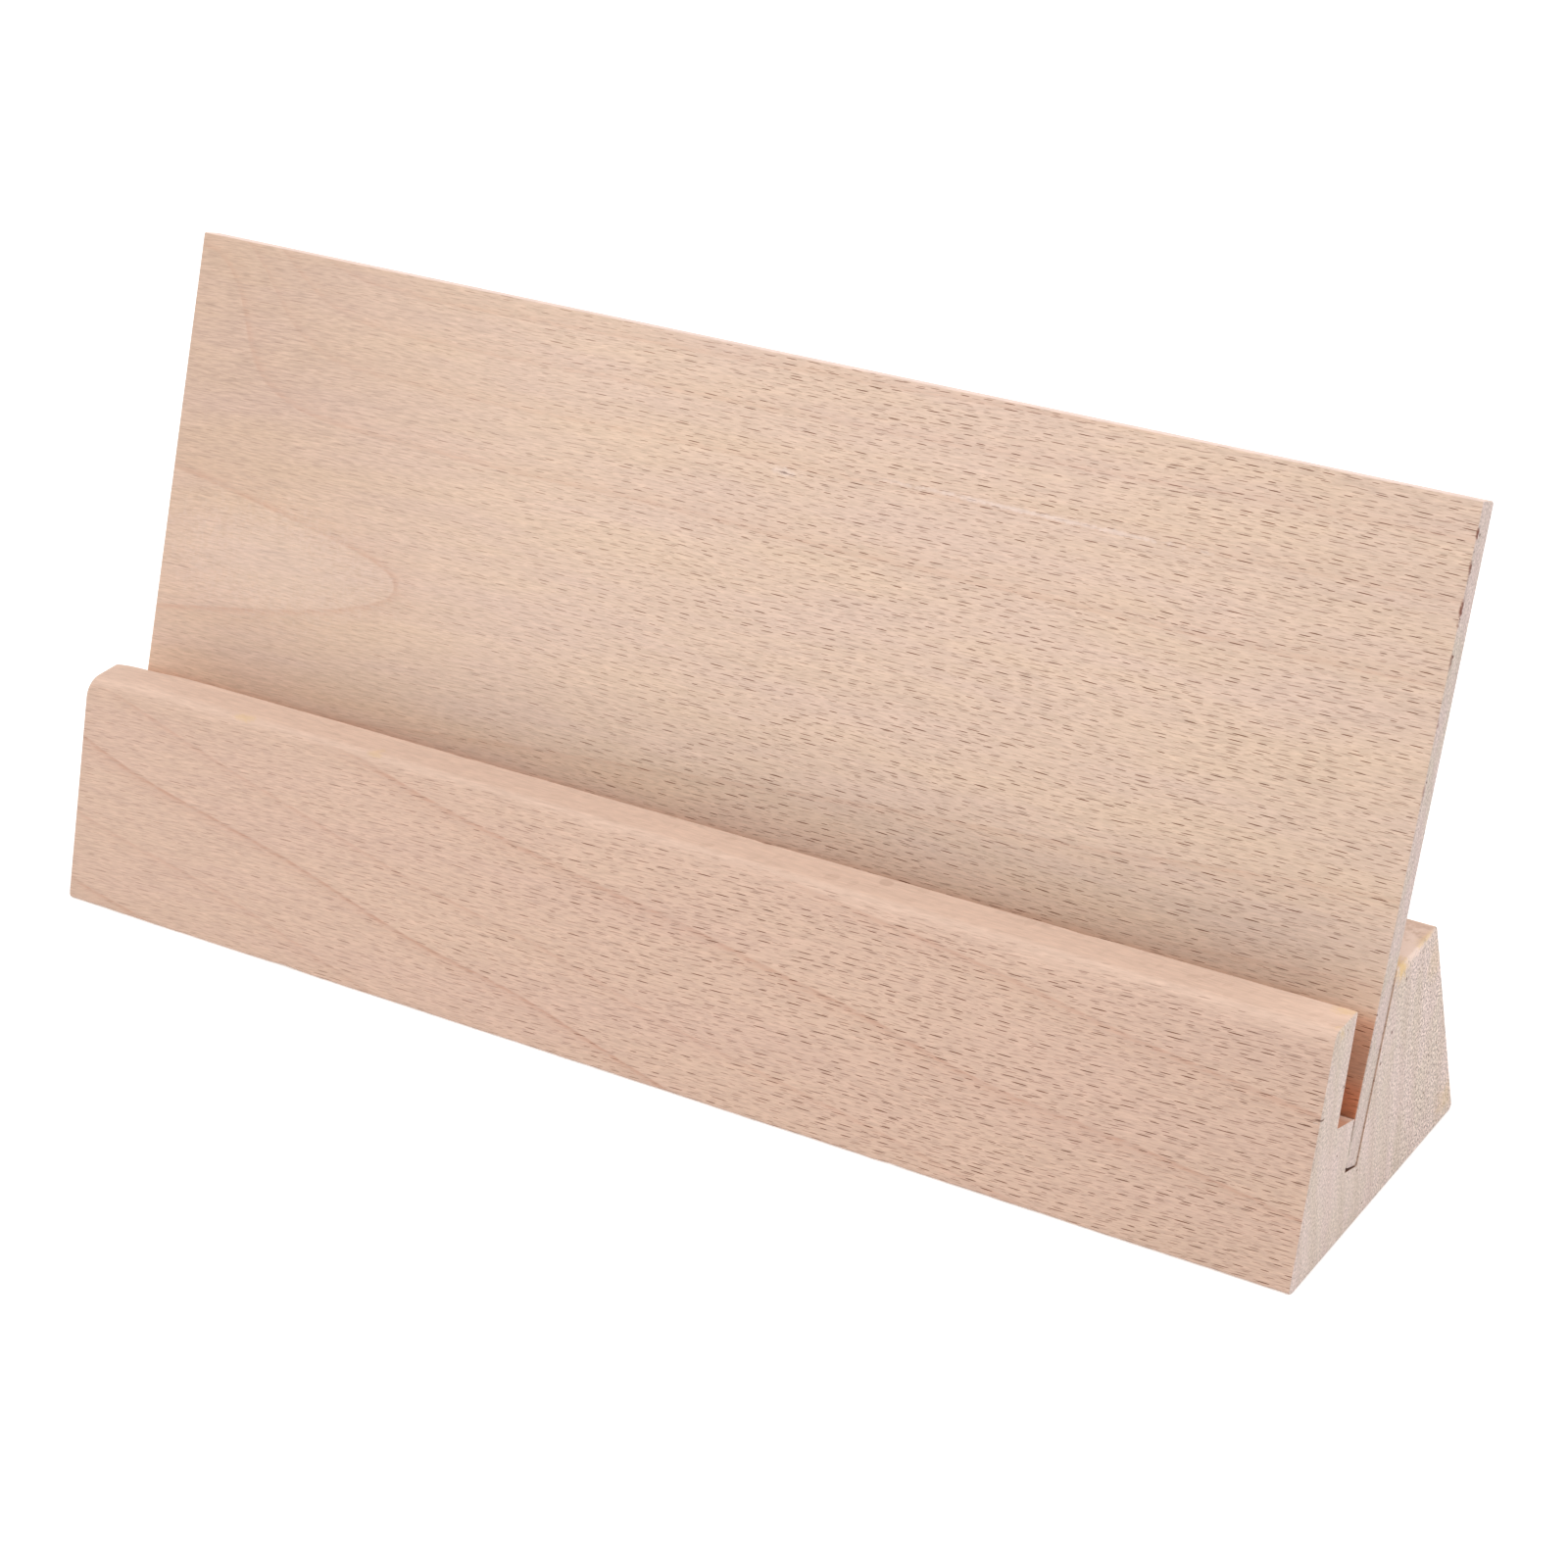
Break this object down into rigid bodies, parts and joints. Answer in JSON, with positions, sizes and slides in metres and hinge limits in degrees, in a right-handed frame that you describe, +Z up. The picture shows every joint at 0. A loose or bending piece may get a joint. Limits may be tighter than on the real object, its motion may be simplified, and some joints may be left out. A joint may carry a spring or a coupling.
{
  "type": "wooden display stand",
  "caption": "Wooden display plaque: a thin beech board leans back in the groove of a heavy beech base, behind a card slot.",
  "frame": {"origin": "middle of the base's underside, on the surface that the stand rests on", "axes": "+X along the stand, +Y to its back, +Z up; the board's display face and the card slot face -Y"},
  "size_m": [0.3, 0.075, 0.1342],
  "materials": {
    "beech_block": "bare sanded beech, matt",
    "beech_board": "bare sanded beech, matt"
  },
  "bodies": {
    "base": {"base_block": "beech_block"},
    "board": {"backboard": "beech_board"}
  },
  "joints": [
    {"name": "board_lift", "type": "slide", "parent": "base", "child": "board", "axis": [0, 0.3502, 0.9367], "range_m": [0, 0.012]}
  ]
}
